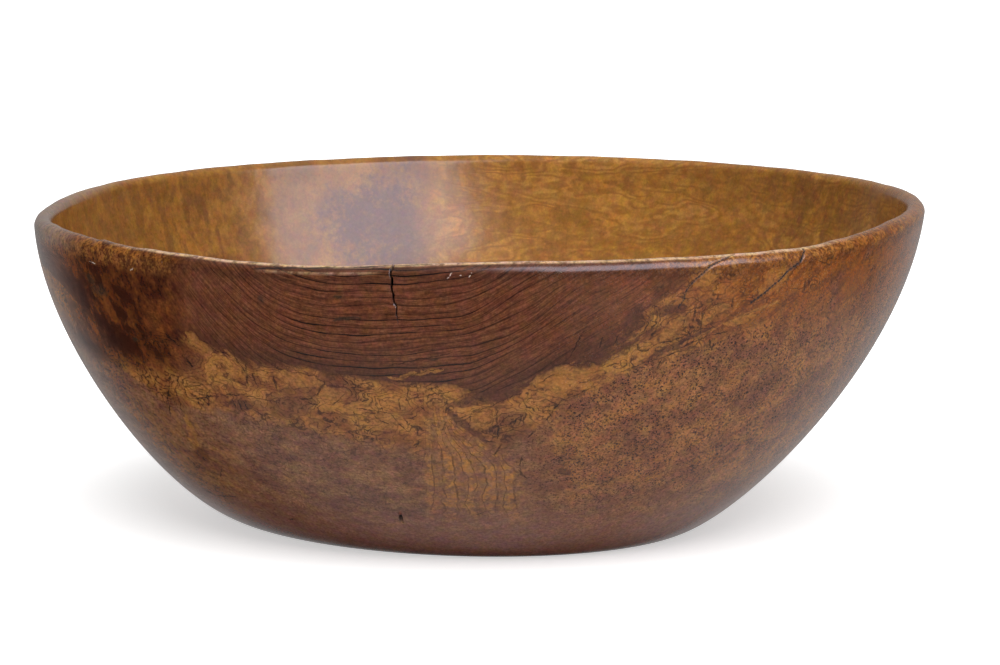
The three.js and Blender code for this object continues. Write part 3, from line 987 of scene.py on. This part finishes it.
def sheet(name, width, height, material):
    """A level rectangle of the studio, with its middle at the origin."""
    x, y = width / 2, height / 2
    mesh = bpy.data.meshes.new(name)
    mesh.from_pydata([(-x, -y, 0), (x, -y, 0), (x, y, 0), (-x, y, 0)], [], [(0, 1, 2, 3)])
    mesh.materials.append(material)
    piece = bpy.data.objects.new(name, mesh)
    scene.collection.objects.link(piece)
    return piece


def make_floor():
    """A matt floor that looks white to the camera and keeps the bowl's shadow."""
    material = bpy.data.materials.new("floor")
    material.use_nodes = True
    tree = material.node_tree
    bsdf = node_of(tree, "BSDF_PRINCIPLED")
    bsdf.inputs["Base Color"].default_value = (floor_tone, floor_tone, floor_tone, 1)
    bsdf.inputs["Roughness"].default_value = 0.9
    bsdf.inputs["Specular IOR Level"].default_value = 0.0
    bsdf.inputs["Emission Color"].default_value = (1, 1, 1, 1)
    camera_ray = Nodes(tree).node("LightPath", output="Is Camera Ray")
    plug(tree, bsdf.inputs["Emission Strength"], camera_ray * floor_glow)
    sheet("floor", floor_size, floor_size, material).visible_glossy = False


def make_world():
    """White to the camera, plain soft light, and in reflections a studio that is pale behind the
    bowl, overhead and on the floor close by."""
    world = bpy.data.worlds.new("studio")
    scene.world = world
    world.use_nodes = True
    tree = world.node_tree
    sky = Nodes(tree)
    right, behind, above = sky.parts(sky.node("TexCoord", output="Generated"))
    wall = sky.ramp(behind, 0.48, 0.88, 0.03, 1) * (0.42 + 0.15 * right) * sky.ramp(above, -0.75, -0.35)
    near_floor = sky.ramp(above, -0.6, -0.95, 0, 0.5) * sky.ramp(behind, 0.6, 0.2)
    right_floor = sky.ramp(right, 0.15, 0.4) * sky.ramp(above, -0.2, -0.5) * 0.5
    in_gloss = sky.together(wall, near_floor, right_floor) + sky.ramp(above, 0.6, 0.95, 0, 0.5)
    seen = in_gloss * sky.node("LightPath", output="Is Glossy Ray")
    seen = seen + ambient * sky.node("LightPath", output="Is Diffuse Ray")
    seen = seen + sky.node("LightPath", output="Is Camera Ray")
    background = node_of(tree, "BACKGROUND")
    background.inputs["Color"].default_value = (1, 1, 1, 1)
    plug(tree, background.inputs["Strength"], seen)


def make_window(place, target, tint):
    """A bright card that only reflections see, as a window beside the camera would be."""
    material = bpy.data.materials.new("window")
    material.use_nodes = True
    nodes = material.node_tree.nodes
    nodes.clear()
    emission = nodes.new("ShaderNodeEmission")
    emission.inputs["Color"].default_value = colour(tint)
    emission.inputs["Strength"].default_value = window_strength
    output = nodes.new("ShaderNodeOutputMaterial")
    material.node_tree.links.new(emission.outputs[0], output.inputs["Surface"])
    window = sheet("window", window_width, window_height, material)
    way = np.array(target) - np.array(place)
    window.rotation_euler = (math.atan2(math.hypot(way[0], way[1]), -way[2]), 0, math.atan2(-way[0], way[1]))
    window.location = place
    for ray in ("camera", "diffuse", "shadow", "transmission", "volume_scatter"):
        setattr(window, "visible_" + ray, False)


def make_sun():
    sun = bpy.data.lights.new("overhead", "SUN")
    sun.energy = sun_strength
    sun.angle = math.radians(sun_spread)
    overhead = bpy.data.objects.new("overhead", sun)
    overhead.rotation_euler = (math.radians(32), 0, math.radians(8))
    overhead.visible_glossy = False
    scene.collection.objects.link(overhead)


def make_camera():
    camera_data = bpy.data.cameras.new("camera")
    camera_data.lens = camera_lens
    camera_data.sensor_width = 36
    camera = bpy.data.objects.new("camera", camera_data)
    camera.location = camera_place
    camera.rotation_euler = (math.radians(90 - camera_dip), 0, 0)
    scene.collection.objects.link(camera)
    scene.camera = camera


make_floor()
make_world()
make_window(place=(0.75, -0.97, 0.88), target=(-0.07, 0.2, 0.15), tint="e6ecff")
make_sun()
make_camera()
